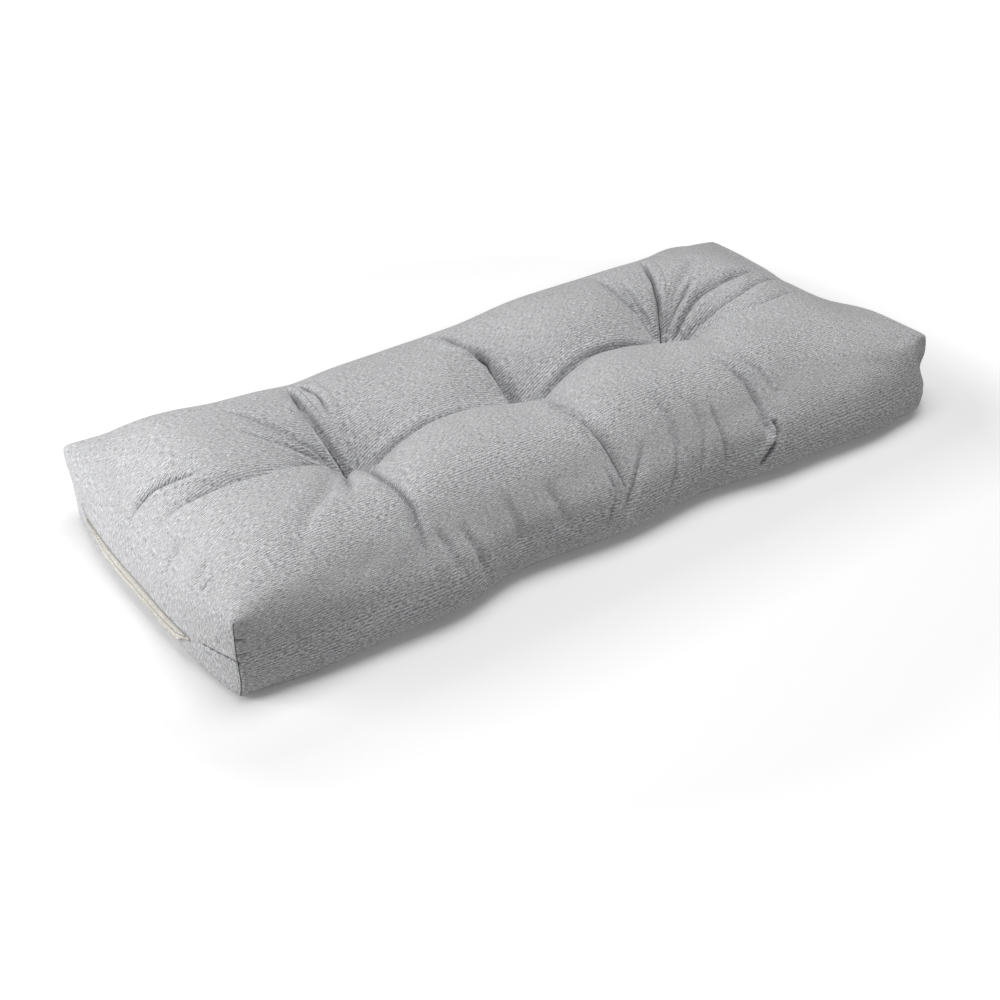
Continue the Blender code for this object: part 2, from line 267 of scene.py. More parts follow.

# %% [markdown]
# ## The folds
# The simulation finds the big shapes, but not the folds of this very cushion. Each row below is one
# fold: a path over the cloth, how deep it is, how far it reaches to each side, and how high its lip
# stands. A path point has x and y, and z too where it lies on a side. About half of the path points
# were printed by a small measuring program and not chosen by hand, so the paths are no model to
# follow: a few driving sizes would be better. Depths, reaches, lips and shades were set one by one.

# %% The table of folds
# The shade column says how much painted shade the finish lays along each fold's low side.
FOLD_COLUMNS = ("path", "depth", "left", "right", "lip", "begins", "ends", "crisp", "shade")
FOLDS = (
    # the long valley between the rolls
    (((-0.275, 0.012), (-0.200, 0.012), (-0.100, 0.010), (-0.020, 0.012)),
     0.011, 0.026, 0.026, 0.004, 0.10, 0.10, 0.95, 0.45),
    (((0.020, 0.012), (0.100, 0.014), (0.200, 0.016), (0.270, 0.019)),
     0.011, 0.026, 0.026, 0.004, 0.10, 0.10, 0.95, 0.45),
    # behind the left tuft
    (((-0.296, 0.200), (-0.301, 0.171), (-0.307, 0.118), (-0.305, 0.079), (-0.300, 0.048), (-0.291, 0.020)),
     0.014, 0.020, 0.036, 0.005, 0.25, 0.02, 1.00, 0.85),
    (((-0.287, 0.190), (-0.283, 0.157), (-0.279, 0.136), (-0.281, 0.107), (-0.284, 0.080)),
     0.009, 0.016, 0.010, 0.003, 0.15, 0.45, 1.00, 0.60),
    (((-0.272, 0.110), (-0.275, 0.085),
      (-0.282, 0.060)), -0.004, 0.009, 0.009, 0.000, 0.40, 0.40, 0.20, 0.00),
    (((-0.425, 0.160), (-0.409, 0.141), (-0.382, 0.095), (-0.356, 0.064), (-0.329, 0.044), (-0.300, 0.020)),
     0.019, 0.024, 0.024, -0.005, 0.35, 0.02, 1.00, 0.75),
    (((-0.440, 0.088), (-0.423, 0.079), (-0.398, 0.052), (-0.363, 0.038), (-0.330, 0.028), (-0.302, 0.016)),
     0.013, 0.018, 0.018, -0.004, 0.35, 0.02, 0.90, 0.50),
    # left of the left tuft
    (((-0.298, 0.012), (-0.354, 0.004), (-0.400, -0.008), (-0.445, -0.013), (-0.484, -0.012),
      (-0.527, -0.005), (-0.558, 0.001), (-0.582, 0.004), (-0.599, -0.001, 0.106)),
     0.024, 0.042, 0.032, 0.006, 0.02, 0.45, 0.90, 0.80),
    (((-0.500, 0.018), (-0.517, 0.029), (-0.544, 0.045), (-0.569, 0.062), (-0.591, 0.066, 0.111),
      (-0.610, 0.055, 0.094)),
     0.012, 0.022, 0.018, 0.003, 0.35, 0.35, 0.90, 0.50),
    (((-0.578, -0.044), (-0.605, -0.053, 0.103), (-0.618, -0.059, 0.086)),
     0.006, 0.016, 0.016, 0.002, 0.30, 0.30, 0.60, 0.15),
    (((-0.572, -0.111), (-0.595, -0.125), (-0.611, -0.137, 0.113)),
     0.006, 0.014, 0.014, 0.002, 0.30, 0.30, 0.70, 0.15),
    (((-0.584, -0.148), (-0.596, -0.147), (-0.609, -0.151, 0.114)),
     0.004, 0.010, 0.010, 0.001, 0.30, 0.30, 0.80, 0.25),
    # in front of the left tuft
    (((-0.292, 0.000), (-0.320, -0.022), (-0.345, -0.055), (-0.362, -0.092), (-0.385, -0.135)),
     0.018, 0.018, 0.020, 0.004, 0.02, 0.50, 0.85, 0.35),
    (((-0.300, 0.004), (-0.350, -0.040), (-0.400, -0.100), (-0.440, -0.132), (-0.475, -0.170),
      (-0.492, -0.205)),
     0.011, 0.024, 0.024, 0.004, 0.10, 0.45, 0.40, 0.00),
    (((-0.286, -0.002), (-0.305, -0.050), (-0.317, -0.095), (-0.318, -0.130), (-0.323, -0.177, 0.135),
      (-0.331, -0.212, 0.120), (-0.340, -0.240, 0.092), (-0.346, -0.253, 0.065)),
     0.018, 0.022, 0.024, 0.006, 0.05, 0.30, 0.75, 0.16),
    (((-0.311, -0.205, 0.126), (-0.302, -0.232, 0.102), (-0.303, -0.255, 0.065)),
     0.009, 0.018, 0.018, 0.004, 0.35, 0.35, 0.50, 0.05),
    (((-0.277, -0.208, 0.120), (-0.262, -0.243, 0.080), (-0.256, -0.252, 0.032)),
     0.009, 0.018, 0.018, 0.004, 0.35, 0.35, 0.50, 0.05),
    (((-0.196, -0.195, 0.125), (-0.190, -0.226, 0.081), (-0.195, -0.240, 0.044)),
     0.008, 0.020, 0.020, 0.003, 0.35, 0.35, 0.40, 0.00),
    (((-0.131, -0.200, 0.122), (-0.120, -0.234, 0.084), (-0.116, -0.245, 0.042)),
     0.008, 0.020, 0.020, 0.003, 0.35, 0.35, 0.40, 0.00),
    # the middle tuft
    (((-0.046, 0.212), (-0.036, 0.182), (-0.028, 0.134), (-0.013, 0.095), (-0.010, 0.066), (-0.003, 0.022)),
     0.017, 0.038, 0.036, -0.007, 0.16, 0.02, 1.00, 1.00),
    (((0.000, 0.004), (-0.010, -0.045), (-0.018, -0.090), (-0.021, -0.138), (-0.017, -0.173, 0.136),
      (-0.013, -0.202, 0.113), (-0.013, -0.230, 0.090), (-0.018, -0.245, 0.072), (-0.028, -0.253, 0.056)),
     0.016, 0.034, 0.028, -0.003, 0.08, 0.20, 1.00, 1.00),
    # behind the right tuft
    (((0.372, 0.190), (0.366, 0.172), (0.339, 0.116), (0.323, 0.082), (0.304, 0.046), (0.293, 0.022)),
     0.016, 0.020, 0.022, 0.004, 0.30, 0.02, 1.00, 0.85),
    (((0.270, 0.185), (0.263, 0.150), (0.264, 0.105), (0.278, 0.071), (0.289, 0.034)),
     0.011, 0.020, 0.024, 0.003, 0.35, 0.02, 0.85, 0.45),
    (((0.290, 0.140), (0.286, 0.115), (0.285, 0.084), (0.289, 0.050)),
     0.007, 0.012, 0.012, 0.002, 0.40, 0.10, 0.75, 0.20),
    # the fan to the right of it
    (((0.405, 0.090), (0.384, 0.072), (0.347, 0.054), (0.322, 0.043), (0.300, 0.026)),
     0.014, 0.016, 0.016, 0.004, 0.40, 0.05, 0.80, 0.30),
    (((0.560, 0.075), (0.520, 0.058), (0.468, 0.046), (0.418, 0.044), (0.367, 0.041), (0.304, 0.023)),
     0.014, 0.020, 0.020, 0.004, 0.45, 0.05, 0.75, 0.25),
    (((0.590, 0.040), (0.520, 0.023), (0.470, 0.010), (0.428, 0.002), (0.384, 0.006), (0.344, 0.014),
      (0.306, 0.018)),
     0.013, 0.020, 0.020, 0.004, 0.45, 0.05, 0.75, 0.30),
    (((0.575, -0.010), (0.550, -0.018), (0.495, -0.034), (0.436, -0.042), (0.385, -0.030), (0.342, -0.008),
      (0.306, 0.013)),
     0.012, 0.020, 0.020, 0.004, 0.40, 0.05, 0.75, 0.20),
    (((0.450, -0.105), (0.415, -0.099), (0.365, -0.080), (0.325, -0.040), (0.303, 0.004)),
     0.009, 0.022, 0.022, 0.003, 0.40, 0.05, 0.60, 0.10),
    (((0.470, 0.150), (0.440, 0.122), (0.395, 0.096), (0.350, 0.070), (0.305, 0.032)),
     0.010, 0.020, 0.020, 0.003, 0.45, 0.05, 0.65, 0.15),
    # over the right of the front roll
    (((0.258, -0.125), (0.266, -0.142), (0.284, -0.170, 0.146), (0.292, -0.206, 0.126),
      (0.295, -0.242, 0.098)),
     0.010, 0.020, 0.020, 0.004, 0.40, 0.40, 0.60, 0.10),
    (((0.238, -0.132), (0.245, -0.155), (0.255, -0.189, 0.140), (0.256, -0.220, 0.116),
      (0.252, -0.246, 0.091),
      (0.251, -0.260, 0.074)),
     0.014, 0.022, 0.022, 0.003, 0.35, 0.15, 0.80, 0.40),
    (((0.262, -0.243, 0.098), (0.264, -0.251, 0.087), (0.263, -0.257, 0.073), (0.250, -0.262, 0.062),
      (0.236, -0.262, 0.050), (0.228, -0.256, 0.036)),
     0.014, 0.018, 0.018, -0.008, 0.15, 0.20, 1.00, 0.75),
    # down the front side, from right to left
    (((0.172, -0.185, 0.138), (0.174, -0.204, 0.127), (0.174, -0.233, 0.093), (0.173, -0.243, 0.055),
      (0.166, -0.245, 0.034)),
     0.010, 0.018, 0.018, -0.005, 0.40, 0.20, 0.75, 0.20),
    (((0.146, -0.170, 0.148), (0.147, -0.190, 0.139), (0.148, -0.215, 0.113), (0.136, -0.238, 0.082),
      (0.124, -0.244, 0.054)),
     0.009, 0.018, 0.018, -0.004, 0.40, 0.30, 0.60, 0.10),
    (((0.088, -0.138), (0.097, -0.165), (0.098, -0.197, 0.132), (0.093, -0.227, 0.101),
      (0.080, -0.240, 0.074),
      (0.064, -0.246, 0.050), (0.052, -0.246, 0.034)),
     0.013, 0.020, 0.020, -0.006, 0.35, 0.20, 0.65, 0.12),
    (((0.040, -0.200, 0.125), (0.028, -0.220, 0.108), (0.006, -0.238, 0.090), (-0.014, -0.247, 0.066),
      (-0.026, -0.248, 0.040)),
     0.010, 0.018, 0.018, -0.005, 0.35, 0.20, 0.60, 0.10),
    (((-0.036, -0.210, 0.120), (-0.034, -0.239, 0.080), (-0.046, -0.249, 0.060), (-0.056, -0.249, 0.036)),
     0.009, 0.015, 0.015, -0.006, 0.35, 0.20, 0.80, 0.18),
    # puckers at the near corner seam
    (((-0.607, -0.229, 0.095),
      (-0.590, -0.233, 0.093)), 0.003, 0.006, 0.006, 0.001, 0.05, 0.60, 0.80, 0.40),
    (((-0.608, -0.227, 0.072),
      (-0.588, -0.234, 0.074)), 0.003, 0.006, 0.006, 0.001, 0.05, 0.60, 0.80, 0.40),
    (((-0.616, -0.192, 0.085),
      (-0.615, -0.205, 0.079)), 0.002, 0.006, 0.006, 0.001, 0.30, 0.30, 0.80, 0.40),
    # the seam that runs from the near corner into the left end, and a short crease beside the strip's tip,
    # both drawn dark with painted shade
    (((-0.606, -0.238, 0.060), (-0.609, -0.226, 0.062), (-0.616, -0.200, 0.059), (-0.622, -0.158, 0.052)),
     0.003, 0.006, 0.006, 0.001, 0.02, 0.15, 1.00, 0.75),
    (((-0.618, 0.196, 0.066), (-0.621, 0.190, 0.058), (-0.622, 0.182, 0.050)),
     0.003, 0.007, 0.007, 0.001, 0.20, 0.10, 1.00, 1.00),
)
print("folds", len(FOLDS))

# %% [markdown]
# ## A path over the cloth
# A fold follows the cloth, so its few points are dropped onto the surface and joined by a smooth
# Catmull-Rom curve. Every step of the curve is then snapped back to the surface.

# %% Paths
SAMPLES_PER_SPAN = 8


def surface_tree(points, faces):
    return BVHTree.FromPolygons([Vector(p) for p in points], faces)


def laid_path(path, tree):
    """The fold's path as close points on the cloth, with the cloth's direction at each."""
    controls = []
    for point in path:
        if len(point) == 2:
            above = Vector((point[0], point[1], 0.5))
            controls.append(tree.ray_cast(above, Vector((0.0, 0.0, -1.0)))[0])
        else:
            controls.append(tree.find_nearest(Vector(point))[0])
    ends = [controls[0] * 2 - controls[1]] + controls + [controls[-1] * 2 - controls[-2]]
    places, facings = [], []
    for i in range(len(controls) - 1):
        p0, p1, p2, p3 = ends[i:i + 4]
        for step in range(SAMPLES_PER_SPAN):
            t = step / SAMPLES_PER_SPAN
            place = 0.5 * ((2 * p1) + (p2 - p0) * t + (2 * p0 - 5 * p1 + 4 * p2 - p3) * t * t
                           + (3 * p1 - p0 - 3 * p2 + p3) * t * t * t)
            near, facing = tree.find_nearest(place)[:2]
            places.append(near)
            facings.append(facing)
    near, facing = tree.find_nearest(controls[-1])[:2]
    return np.array(places + [near]), np.array(facings + [facing])


def to_path(points, line, facings):
    """For each point: how far along the line (0 to 1), how far aside (left is +), which way aside."""
    spans = line[1:] - line[:-1]
    lengths = np.linalg.norm(spans, axis=1)
    run = np.concatenate([[0.0], np.cumsum(lengths)])
    gap = points[:, None, :] - line[None, :-1, :]
    share = np.clip((gap * spans).sum(2) / np.maximum(lengths ** 2, 1e-12), 0.0, 1.0)
    offset = gap - share[..., None] * spans
    distance = np.linalg.norm(offset, axis=2)
    nearest = distance.argmin(1)
    rows = np.arange(len(points))
    along = (run[nearest] + share[rows, nearest] * lengths[nearest]) / run[-1]
    side = np.cross(facings[:-1], spans / np.maximum(lengths, 1e-9)[:, None])
    aside = (offset[rows, nearest] * side[nearest]).sum(1)
    return along, distance[rows, nearest] * np.sign(aside), side[nearest]


print("steps to a span", SAMPLES_PER_SPAN)

# %% [markdown]
# ## Uneven filling
# Loose filling never lies quite evenly. A few broad pushes make the soft dips beside the tufts and
# draw the corners in or out.

# %% Nudges
NUDGE_COLUMNS = ("at", "reach", "push")
NUDGES = (
    ((-0.345, -0.085, 0.160), 0.070, (0.000, 0.000, -0.010)),
    ((-0.065, -0.090, 0.160), 0.070, (0.000, 0.000, -0.012)),
    ((0.200, -0.070, 0.160), 0.070, (0.000, 0.000, -0.010)),
    ((0.605, 0.140, 0.115), 0.070, (0.000, 0.000, -0.012)),
    ((-0.270, 0.210, 0.135), 0.045, (0.000, 0.000, -0.007)),
    ((-0.605, 0.250, 0.120), 0.045, (-0.007, 0.000, 0.006)),
    ((0.605, -0.235, 0.095), 0.030, (0.005, 0.000, 0.000)),
    ((0.600, -0.240, 0.030), 0.045, (0.009, -0.004, 0.000)),
    ((0.618, -0.238, 0.066), 0.016, (-0.008, 0.003, 0.000)),
)


def nudge(points, rows):
    """Pushes the cloth a little at a few places, fading out over each one's reach."""
    for row in rows:
        spot = dict(zip(NUDGE_COLUMNS, row))
        distance = np.linalg.norm(points - spot["at"], axis=1)
        share = np.exp(-(distance / spot["reach"]) ** 2)
        points += share[:, None] * spot["push"]
    return points


print("nudges", len(NUDGES))

# %% [markdown]
# ## Weight on the floor
# The filling's weight spreads the sides just above the floor, and the front's lower edge tucks in
# under the bulge above it.

# %% Sag
def smooth_step(value):
    value = np.clip(value, 0.0, 1.0)
    return value * value * (3.0 - 2.0 * value)


SAG_HEIGHT = 0.070
SAG_OUT = 0.005
SAG_DOWN = 0.35
HUMP_PEAK = 4.0  # low * (1 - low) peaks at a quarter
TUCK_HEIGHT = 0.030
TUCK_IN = 0.009
TUCK_DOWN = 0.55
TUCK_FADE = 0.2


def sag(points, normals):
    """The filling's weight spreads the sides a little just above the floor."""
    low = np.clip(1.0 - points[:, 2] / SAG_HEIGHT, 0.0, 1.0)
    outwards = normals * (0.0, 1.0, 0.0)
    points += outwards * (SAG_OUT * HUMP_PEAK * low * (1.0 - low))[:, None]
    points[:, 2] *= 1.0 - SAG_DOWN * low
    tucked = np.clip(1.0 - points[:, 2] / TUCK_HEIGHT, 0.0, 1.0) * smooth_step(-points[:, 1] / TUCK_FADE)
    points[:, 1] += TUCK_IN * tucked
    points[:, 2] *= 1.0 - TUCK_DOWN * tucked
    return points


print("sag", SAG_OUT, "tuck", TUCK_IN)

# %% [markdown]
# ## Pressing a fold in
# Across its path a fold is a trough between two shoulders. A sharp fold is a cusp and a soft one a
# bell, and `crisp` mixes the two. The cloth is also drawn towards the path, as it is where it is
# gathered. A signed distance to the path is kept, so that the finish can paint shade along the fold's edge.

# %% The fold's section
FAR_AWAY = 0.020
SHOULDER_PEAK = 6.75  # share * (1 - share) ** 2 peaks at 4 / 27
LOW_LIP = 0.35
DRAW_IN = 0.45
LEAST_FADE = 1e-3


def fold_in(points, normals, faces, rows):
    """Moves the points of the cloth into every fold, and notes where the folds with painted shade run."""
    tree = surface_tree(points, faces)
    fold_gap = np.full(len(points), FAR_AWAY)
    fold_shade = np.zeros(len(points))
    for row in rows:
        fold = dict(zip(FOLD_COLUMNS, row))
        line, facings = laid_path(fold["path"], tree)
        reach = max(fold["left"], fold["right"])
        low, high = line.min(0) - reach, line.max(0) + reach
        near = np.where(((points > low) & (points < high)).all(1))[0]
        along, aside, side = to_path(points[near], line, facings)
        width = np.where(aside > 0, fold["left"], fold["right"])
        share = np.clip(np.abs(aside) / width, 0.0, 1.0)
        strength = (smooth_step(along / max(fold["begins"], LEAST_FADE))
                    * smooth_step((1.0 - along) / max(fold["ends"], LEAST_FADE)))
        cusp = (1.0 - share) ** (1.0 + 2.0 * fold["crisp"])
        bell = smooth_step(1.0 - share)
        trough = fold["crisp"] * cusp + (1.0 - fold["crisp"]) * bell
        shoulder = SHOULDER_PEAK * share * (1.0 - share) ** 2
        high = aside > 0 if fold["lip"] >= 0 else aside <= 0
        lift = -fold["depth"] * trough + abs(fold["lip"]) * shoulder * np.where(high, 1.0, LOW_LIP)
        drawn = -aside * DRAW_IN * fold["crisp"] * (1.0 - share) ** 2 * (share < 1.0)
        points[near] += (strength * lift)[:, None] * normals[near]
        points[near] += (strength * drawn)[:, None] * side
        # folds with a shade get painted shade on their low side, drawn later by the finish
        if fold["shade"] > 0:
            low_side = -aside if fold["lip"] >= 0 else aside
            closer = np.abs(low_side) < np.abs(fold_gap[near])
            fold_gap[near[closer]] = low_side[closer]
            fold_shade[near[closer]] = (strength * fold["shade"])[closer]
    return points, fold_gap, fold_shade


print("fold section: lip", LOW_LIP, "on the low side, drawn in", DRAW_IN)

# %% [markdown]
# ## Smaller cells where the cloth turns sharply
# A sharp edge needs cells smaller than itself. Halving only the cells next to the sharp folds gives
# the edge without making the whole cover heavy.

# %% Split the cells along the folds
SPLIT_REACH = 0.009
SPLIT_FROM = 0.75


def read_vectors(data, name):
    values = np.empty(len(data) * 3)
    data.foreach_get(name, values)
    return values.reshape(-1, 3)


def split_along(mesh, rows, reach):
    """Halves the cells near the sharp folds, so that their edges come out crisp."""
    points = read_vectors(mesh.vertices, "co")
    tree = surface_tree(points, [tuple(face.vertices) for face in mesh.polygons])
    folds = [dict(zip(FOLD_COLUMNS, row)) for row in rows]
    lines = [laid_path(fold["path"], tree)[0] for fold in folds if fold["crisp"] >= SPLIT_FROM]
    stops = np.concatenate(lines)
    finder = KDTree(len(stops))
    for i, stop in enumerate(stops):
        finder.insert(Vector(stop), i)
    finder.balance()
    shape = bmesh.new()
    shape.from_mesh(mesh)
    close = {vert for vert in shape.verts if finder.find(vert.co)[2] < reach}
    edges = [edge for edge in shape.edges if close.issuperset(edge.verts)]
    bmesh.ops.subdivide_edges(shape, edges=edges, cuts=1, use_grid_fill=True)
    shape.to_mesh(mesh)
    shape.free()


split_along(cushion_mesh, FOLDS, SPLIT_REACH)
print("cover", len(cushion_mesh.polygons), "faces,",
      sum(len(face.vertices) - 2 for face in cushion_mesh.polygons), "triangles")

# %% [markdown]
# ## Laying everything in
# The order matters. The broad pushes come first, then the sag, and the folds last, so that each fold
# is measured on the cloth as it then lies.

# %% Lay the folds
points = read_vectors(cushion_mesh.vertices, "co")
faces = [tuple(face.vertices) for face in cushion_mesh.polygons]


def normals_now():
    cushion_mesh.vertices.foreach_set("co", points.ravel())
    cushion_mesh.update()
    return read_vectors(cushion_mesh.vertex_normals, "vector")


points = nudge(points, NUDGES)
points = sag(points, normals_now())
points, fold_gap, fold_shade = fold_in(points, normals_now(), faces, FOLDS)
points[:, 2] = np.maximum(points[:, 2], 0.0)
normals_now()
print("deepest fold", max(row[1] for row in FOLDS))

# %% [markdown]
# ## Seams, as a distance
# The cover is sewn along its four upright corners, where two panels meet. Each vertex keeps its
# distance to the nearest of those seams, so that the finish can paint shade along the seam as a thin dark
# line.

# %% Where the seams are
def seam_gaps():
    """How far each vertex is from the upright corner seams."""
    cut = read_vectors(cushion_mesh.attributes["cut"].data, "vector")
    return np.hypot(COVER.x / 2 - np.abs(cut[:, 0]), COVER.y / 2 - np.abs(cut[:, 1]))


def add_value(name, values):
    layer = cushion_mesh.attributes.new(name, "FLOAT", "POINT")
    layer.data.foreach_set("value", values.astype(np.float32))


add_value("seam_gap", seam_gaps())
add_value("fold_gap", fold_gap)
add_value("fold_shade", fold_shade)
print("shaded fold vertices", int((fold_shade > 0).sum()))

# %% [markdown]
# ## Small tools for finishes
# A shader is a net of nodes. These helpers make one node each and return the socket that carries its
# result, so that the finishes below read like short sums.

# %% Node helpers
def new_group(name, takes, gives):
    group = bpy.data.node_groups.new(name, "ShaderNodeTree")
    for label, kind, value in takes:
        socket = group.interface.new_socket(label, in_out="INPUT", socket_type="NodeSocket" + kind)
        if value is not None:
            socket.default_value = value
    for label, kind in gives:
        group.interface.new_socket(label, in_out="OUTPUT", socket_type="NodeSocket" + kind)
    return group, group.nodes.new("NodeGroupInput"), group.nodes.new("NodeGroupOutput")


def math_node(tree, operation, *values):
    node = tree.nodes.new("ShaderNodeMath")
    node.operation = operation
    for socket, value in zip(node.inputs, values):
        if isinstance(value, (int, float)):
            socket.default_value = value
        else:
            tree.links.new(value, socket)
    return node.outputs[0]


def vector_node(tree, operation, *values):
    node = tree.nodes.new("ShaderNodeVectorMath")
    node.operation = operation
    for socket, value in zip(node.inputs, values):
        if isinstance(value, bpy.types.NodeSocket):
            tree.links.new(value, socket)
        else:
            socket.default_value = value
    return node.outputs


def stretched_noise(tree, place, pitch, detail, roughness):
    """Noise whose grains are pitch[0] long and pitch[1] wide, in metres of cloth."""
    mapping = tree.nodes.new("ShaderNodeMapping")
    mapping.inputs["Scale"].default_value = (1.0 / pitch[0], 1.0 / pitch[1], 1.0)
    tree.links.new(place, mapping.inputs["Vector"])
    noise = tree.nodes.new("ShaderNodeTexNoise")
    noise.inputs["Scale"].default_value = 1.0
    noise.inputs["Detail"].default_value = detail
    noise.inputs["Roughness"].default_value = roughness
    tree.links.new(mapping.outputs[0], noise.inputs["Vector"])
    return noise.outputs[0]


def remap(tree, value, from_low, from_high, to_low, to_high):
    node = tree.nodes.new("ShaderNodeMapRange")
    for label, number in (("From Min", from_low), ("From Max", from_high),
                          ("To Min", to_low), ("To Max", to_high)):
        node.inputs[label].default_value = number
    tree.links.new(value, node.inputs["Value"])
    return node.outputs[0]


def mixed(tree, share, a, b):
    node = tree.nodes.new("ShaderNodeMix")
    node.data_type = "RGBA"
    for socket, value in ((node.inputs[0], share), (node.inputs[6], a), (node.inputs[7], b)):
        if isinstance(value, bpy.types.NodeSocket):
            tree.links.new(value, socket)
        else:
            socket.default_value = value
    return node.outputs[2]


def attribute(tree, name):
    reader = tree.nodes.new("ShaderNodeAttribute")
    reader.attribute_name = name
    return reader.outputs["Fac"]


print("helpers for groups, sums, noise, ranges, mixes and attributes")

# %% [markdown]
# ## The weave
# The cloth is a heathered plain weave: short light and dark yarns lie along the length of the
# cushion, and each is only a millimetre thick. Stretched noises make the yarns, slubs, picks and
# threads, and a sine wave that wanders makes the rows. They read the cut map, so the yarns follow
# the cloth down the ends and sides. The strip and its thread use the same effect with other
# colours, so it is a node group.

# %% The weave group
NOISE_COLUMNS = ("pitch", "detail", "gain")
NOISES = {
    "yarn": ((0.0060, 0.0010), 1.0, 2.2),
    "slub": ((0.024, 0.0012), 1.0, 0.6),
    "pick": ((0.0009, 0.0024), 1.0, 1.4),
    "thread": ((0.0011, 0.0009), 1.0, 1.7),
    "cloud": ((0.16, 0.10), 2.0, 0.12),
}
NOISE_ROUGHNESS = 0.5
ROW_STEP = 0.0029
ROW_WANDER = 2.6
ROW_SHARE = 0.20
YARN_SPREAD = (0.2, 0.8)
ROUGH_TO_SMOOTH = (0.98, 0.84)
THREAD_HEIGHT = 0.6


def make_weave():
    group, takes, gives = new_group(
        "heathered_weave",
        [("Cloth Place", "Vector", None), ("Light Yarn", "Color", (0.66, 0.66, 0.67, 1.0)),
         ("Dark Yarn", "Color", (0.30, 0.30, 0.31, 1.0))],
        [("Color", "Color"), ("Roughness", "Float"), ("Height", "Float")],
    )
    place = takes.outputs["Cloth Place"]
    noises = {}
    total = 0.0
    for kind, row in NOISES.items():
        grain = dict(zip(NOISE_COLUMNS, row))
        noises[kind] = stretched_noise(group, place, grain["pitch"], grain["detail"], NOISE_ROUGHNESS)
        centred = math_node(group, "SUBTRACT", noises[kind], 0.5)
        total = math_node(group, "ADD", total, math_node(group, "MULTIPLY", centred, grain["gain"]))
    split = group.nodes.new("ShaderNodeSeparateXYZ")
    group.links.new(place, split.inputs[0])
    turns = math_node(group, "MULTIPLY", split.outputs["Y"], math.tau / ROW_STEP)
    wander = math_node(group, "MULTIPLY", noises["slub"], ROW_WANDER)
    rows = math_node(group, "SINE", math_node(group, "ADD", turns, wander))
    total = math_node(group, "ADD", total, math_node(group, "MULTIPLY", rows, ROW_SHARE))
    share = math_node(group, "ADD", total, 0.5)
    share.node.use_clamp = True
    colour = mixed(group, share, takes.outputs["Dark Yarn"], takes.outputs["Light Yarn"])
    group.links.new(colour, gives.inputs["Color"])
    roughness = remap(group, noises["yarn"], *YARN_SPREAD, *ROUGH_TO_SMOOTH)
    group.links.new(roughness, gives.inputs["Roughness"])
    threads = math_node(group, "MULTIPLY", noises["thread"], THREAD_HEIGHT)
    group.links.new(math_node(group, "ADD", noises["yarn"], threads), gives.inputs["Height"])
    return group


weave = make_weave()
print("weave group", len(weave.nodes), "nodes")

# %% [markdown]
# ## The edge of a fold
# Where cloth laps over itself, shade gathers in a line that is far thinner than a cell. The shader
# paints that shade into the colour from the signed distance: full dark on the low side, cut off hard at
# the lip. A small step in the bump height catches the light on the same edge.

# %% The fold line group
FOLD_STEP = 0.0012
LOW_SIDE = (0.0004, 0.0045)
LIP_SIDE = (-0.0014, -0.0002)
STEP_SIDE = (-0.0040, 0.0004)


def make_fold_line():
    """Painted shade mask and bump height of a fold's edge: dark on the low side, cut off hard at the lip.
    """
    group, takes, gives = new_group(
        "fold_painted_shade_and_step",
        [("Gap", "Float", 1.0), ("Shade", "Float", 0.0)],
        [("Mask", "Float"), ("Height", "Float")],
    )
    gap, shade = takes.outputs["Gap"], takes.outputs["Shade"]
    # painted shade: full on the low side of the fold, cut off hard at the lip
    low_side = remap(group, gap, *LOW_SIDE, 1.0, 0.0)
    lip_side = remap(group, gap, *LIP_SIDE, 0.0, 1.0)
    mask = math_node(group, "MULTIPLY", math_node(group, "MULTIPLY", low_side, lip_side), shade)
    step = remap(group, gap, *STEP_SIDE, FOLD_STEP, 0.0)
    group.links.new(mask, gives.inputs["Mask"])
    group.links.new(math_node(group, "MULTIPLY", step, shade), gives.inputs["Height"])
    return group


fold_painted_shade_and_step = make_fold_line()
print("fold line group", len(fold_painted_shade_and_step.nodes), "nodes")

# %% [markdown]
# ## One recipe for every cloth
# Cover, strip and thread are all matt woven yarn. They share one recipe: the weave group colours them,
# roughens them and gives them a shallow bump, and a little sheen stands for loose fibres.

# %% A cloth material
WEAVE_DEPTH = 0.0005
WEAVE_BUMP = 0.6
CLOTH_SHINE = 0.15
CLOTH_SHEEN = 0.10
SHEEN_SPREAD = 0.6


def cloth_material(name, light, dark):
    material = bpy.data.materials.new(name)
    material.use_nodes = True
    tree = material.node_tree
    shader = tree.nodes["Principled BSDF"]
    cloth_place = tree.nodes.new("ShaderNodeUVMap")
    cloth_place.uv_map = "cut_map"
    group = tree.nodes.new("ShaderNodeGroup")
    group.node_tree = weave
    group.inputs["Light Yarn"].default_value = light
    group.inputs["Dark Yarn"].default_value = dark
    tree.links.new(cloth_place.outputs[0], group.inputs["Cloth Place"])
    tree.links.new(group.outputs["Roughness"], shader.inputs["Roughness"])
    bump = tree.nodes.new("ShaderNodeBump")
    bump.inputs["Strength"].default_value = WEAVE_BUMP
    bump.inputs["Distance"].default_value = WEAVE_DEPTH
    tree.links.new(group.outputs["Height"], bump.inputs["Height"])
    tree.links.new(bump.outputs[0], shader.inputs["Normal"])
    shader.inputs["Specular IOR Level"].default_value = CLOTH_SHINE
    shader.inputs["Sheen Weight"].default_value = CLOTH_SHEEN
    shader.inputs["Sheen Roughness"].default_value = SHEEN_SPREAD
    return material, tree, shader, group.outputs["Color"]


print("weave bump", WEAVE_DEPTH)

# %% [markdown]
# ## The cover's cloth
# Light and dark grey yarns mix into a soft mid grey. Painted shade is laid over the weave along the
# seams and the fold edges, as thin lines that are nearly black.

# %% The cover's cloth
COVER_YARNS = ((0.82, 0.82, 0.83, 1.0), (0.21, 0.21, 0.22, 1.0))
